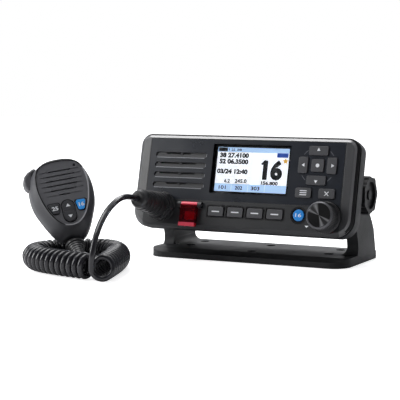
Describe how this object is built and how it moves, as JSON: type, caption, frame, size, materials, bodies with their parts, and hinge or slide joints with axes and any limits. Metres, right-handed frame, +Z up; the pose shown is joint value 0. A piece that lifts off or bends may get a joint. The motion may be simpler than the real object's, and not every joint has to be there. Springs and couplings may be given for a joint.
{
  "type": "vhf marine radio",
  "caption": "Bracket-mounted marine radio with a display, keys, a dial and a guarded distress key, and a handset on a curly cord beside it.",
  "frame": {"origin": "centre of the bracket's flat underside", "axes": "+X to the radio's right seen from the front, +Y from its front to its back, +Z up"},
  "size_m": [0.263, 0.238, 0.1072],
  "materials": {
    "bracket": "black powder coat, fine texture",
    "knob": "black moulded plastic",
    "case": "dark grey moulded plastic, fine texture",
    "plate": "glossy blue-black",
    "window": "clear",
    "display": "white and pale blue lit display",
    "cone": "black",
    "speaker": "black",
    "mat": "grey silicone",
    "board": "green circuit board",
    "key": "dark grey",
    "blue_key": "blue, lit",
    "red_key": "red",
    "red_cover": "clear red",
    "pin": "bright",
    "dial": "black, ribbed",
    "dial_cap": "turned",
    "socket": "black",
    "rubber": "black",
    "screw": "stainless",
    "chassis": "black painted casting",
    "connector": "bright plated",
    "handset": "dark grey moulded plastic",
    "cord": "black, slightly glossy",
    "can": "tinned"
  },
  "bodies": {
    "bracket_and_handset": {"bracket": "bracket", "curly_cord": "cord", "cord_to_handset": "cord", "handset_front_shell": "handset", "handset_rear_shell": "handset", "handset_face_plate": "handset", "handset_board": "board", "handset_speaker": "speaker", "handset_screws": "screw", "hanger_button": "connector", "strain_relief": "rubber", "cord_to_radio": "cord"},
    "radio": {"front_case": "case", "side_cap_right": "case", "side_cap_left": "case", "front_plate": "plate", "display_window": "window", "display_module": "display", "speaker_membrane": "cone", "speaker": "speaker", "keypad_mat": "mat", "front_board": "board", "distress_hinge_pin": "pin", "dial_encoder": "socket", "handset_socket": "socket", "plug_nut": "socket", "plug_boot": "rubber", "case_seal": "rubber", "rear_housing": "case", "case_screws": "screw", "chassis": "chassis", "rear_panel": "chassis", "antenna_connector": "connector", "cable_glands": "rubber", "main_board": "board", "shield_can": "can"},
    "knob_right": {"bracket_knob_right": "knob"},
    "knob_left": {"bracket_knob_left": "knob"},
    "dial_spindle": {"dial_shaft": "screw"},
    "dial": {"dial_skirt": "dial", "dial_cap": "dial_cap"},
    "distress_cover": {"distress_cover": "red_cover"},
    "push_to_talk": {"push_to_talk_button": "rubber"},
    "key_up": {"key_up": "key"},
    "key_down": {"key_down": "key"},
    "key_left": {"key_left": "key"},
    "key_right": {"key_right": "key"},
    "key_enter": {"key_enter": "key"},
    "key_menu": {"key_menu": "key"},
    "key_clear": {"key_clear": "key"},
    "softkey_1": {"softkey_1": "key"},
    "softkey_2": {"softkey_2": "key"},
    "softkey_3": {"softkey_3": "key"},
    "softkey_4": {"softkey_4": "key"},
    "channel_key": {"channel_key": "blue_key"},
    "distress_key": {"distress_key": "red_key"},
    "handset_power_key": {"handset_power_key": "key"},
    "handset_channel_key": {"handset_channel_key": "blue_key"},
    "handset_up_key": {"handset_up_key": "key"},
    "handset_down_key": {"handset_down_key": "key"}
  },
  "joints": [
    {"name": "tilt", "type": "hinge", "parent": "bracket_and_handset", "child": "radio", "pos_m": [0, -0.0037, 0.059], "axis": [-1, 0, 0], "range_deg": [-20, 20], "deforming": ["cord_to_radio"]},
    {"name": "knob_right_turn", "type": "hinge", "parent": "radio", "child": "knob_right", "pos_m": [0.097, -0.0037, 0.059], "axis": [1, 0, 0], "continuous": true},
    {"name": "knob_left_turn", "type": "hinge", "parent": "radio", "child": "knob_left", "pos_m": [-0.097, -0.0037, 0.059], "axis": [-1, 0, 0], "continuous": true},
    {"name": "dial_press", "type": "slide", "parent": "radio", "child": "dial_spindle", "axis": [0, 0.9708, -0.2401], "range_m": [0, 0.0006], "stiffness_N_per_m": 4000},
    {"name": "dial_turn", "type": "hinge", "parent": "dial_spindle", "child": "dial", "pos_m": [0.0788, -0.0546, 0.0448], "axis": [0, 0.9708, -0.2401], "continuous": true},
    {"name": "key_up_press", "type": "slide", "parent": "radio", "child": "key_up", "axis": [0, 0.9708, -0.2401], "range_m": [0, 0.0008], "stiffness_N_per_m": 2500},
    {"name": "key_down_press", "type": "slide", "parent": "radio", "child": "key_down", "axis": [0, 0.9708, -0.2401], "range_m": [0, 0.0008], "stiffness_N_per_m": 2500},
    {"name": "key_left_press", "type": "slide", "parent": "radio", "child": "key_left", "axis": [0, 0.9708, -0.2401], "range_m": [0, 0.0008], "stiffness_N_per_m": 2500},
    {"name": "key_right_press", "type": "slide", "parent": "radio", "child": "key_right", "axis": [0, 0.9708, -0.2401], "range_m": [0, 0.0008], "stiffness_N_per_m": 2500},
    {"name": "key_enter_press", "type": "slide", "parent": "radio", "child": "key_enter", "axis": [0, 0.9708, -0.2401], "range_m": [0, 0.0008], "stiffness_N_per_m": 2500},
    {"name": "key_menu_press", "type": "slide", "parent": "radio", "child": "key_menu", "axis": [0, 0.9708, -0.2401], "range_m": [0, 0.0008], "stiffness_N_per_m": 2500},
    {"name": "key_clear_press", "type": "slide", "parent": "radio", "child": "key_clear", "axis": [0, 0.9708, -0.2401], "range_m": [0, 0.0008], "stiffness_N_per_m": 2500},
    {"name": "softkey_1_press", "type": "slide", "parent": "radio", "child": "softkey_1", "axis": [0, 0.9708, -0.2401], "range_m": [0, 0.0008], "stiffness_N_per_m": 2500},
    {"name": "softkey_2_press", "type": "slide", "parent": "radio", "child": "softkey_2", "axis": [0, 0.9708, -0.2401], "range_m": [0, 0.0008], "stiffness_N_per_m": 2500},
    {"name": "softkey_3_press", "type": "slide", "parent": "radio", "child": "softkey_3", "axis": [0, 0.9708, -0.2401], "range_m": [0, 0.0008], "stiffness_N_per_m": 2500},
    {"name": "softkey_4_press", "type": "slide", "parent": "radio", "child": "softkey_4", "axis": [0, 0.9708, -0.2401], "range_m": [0, 0.0008], "stiffness_N_per_m": 2500},
    {"name": "channel_key_press", "type": "slide", "parent": "radio", "child": "channel_key", "axis": [0, 0.9708, -0.2401], "range_m": [0, 0.0008], "stiffness_N_per_m": 2500},
    {"name": "distress_key_press", "type": "slide", "parent": "radio", "child": "distress_key", "axis": [0, 0.9708, -0.2401], "range_m": [0, 0.0008], "stiffness_N_per_m": 2500},
    {"name": "distress_cover_lift", "type": "hinge", "parent": "radio", "child": "distress_cover", "pos_m": [-0.0456, -0.04655, 0.04817], "axis": [-1, 0, 0], "range_deg": [0, 105], "stiffness_Nm_per_rad": 0.002, "springref_deg": -20.05},
    {"name": "handset_power_key_press", "type": "slide", "parent": "bracket_and_handset", "child": "handset_power_key", "axis": [-0.5826, 0.6943, -0.4226], "range_m": [0, 0.0008], "stiffness_N_per_m": 2500},
    {"name": "handset_channel_key_press", "type": "slide", "parent": "bracket_and_handset", "child": "handset_channel_key", "axis": [-0.5826, 0.6943, -0.4226], "range_m": [0, 0.0008], "stiffness_N_per_m": 2500},
    {"name": "handset_up_key_press", "type": "slide", "parent": "bracket_and_handset", "child": "handset_up_key", "axis": [-0.5826, 0.6943, -0.4226], "range_m": [0, 0.0008], "stiffness_N_per_m": 2500},
    {"name": "handset_down_key_press", "type": "slide", "parent": "bracket_and_handset", "child": "handset_down_key", "axis": [-0.5826, 0.6943, -0.4226], "range_m": [0, 0.0008], "stiffness_N_per_m": 2500},
    {"name": "push_to_talk_press", "type": "slide", "parent": "bracket_and_handset", "child": "push_to_talk", "axis": [0.7065, 0.6896, 0.1589], "range_m": [0, 0.0015], "stiffness_N_per_m": 1500}
  ]
}
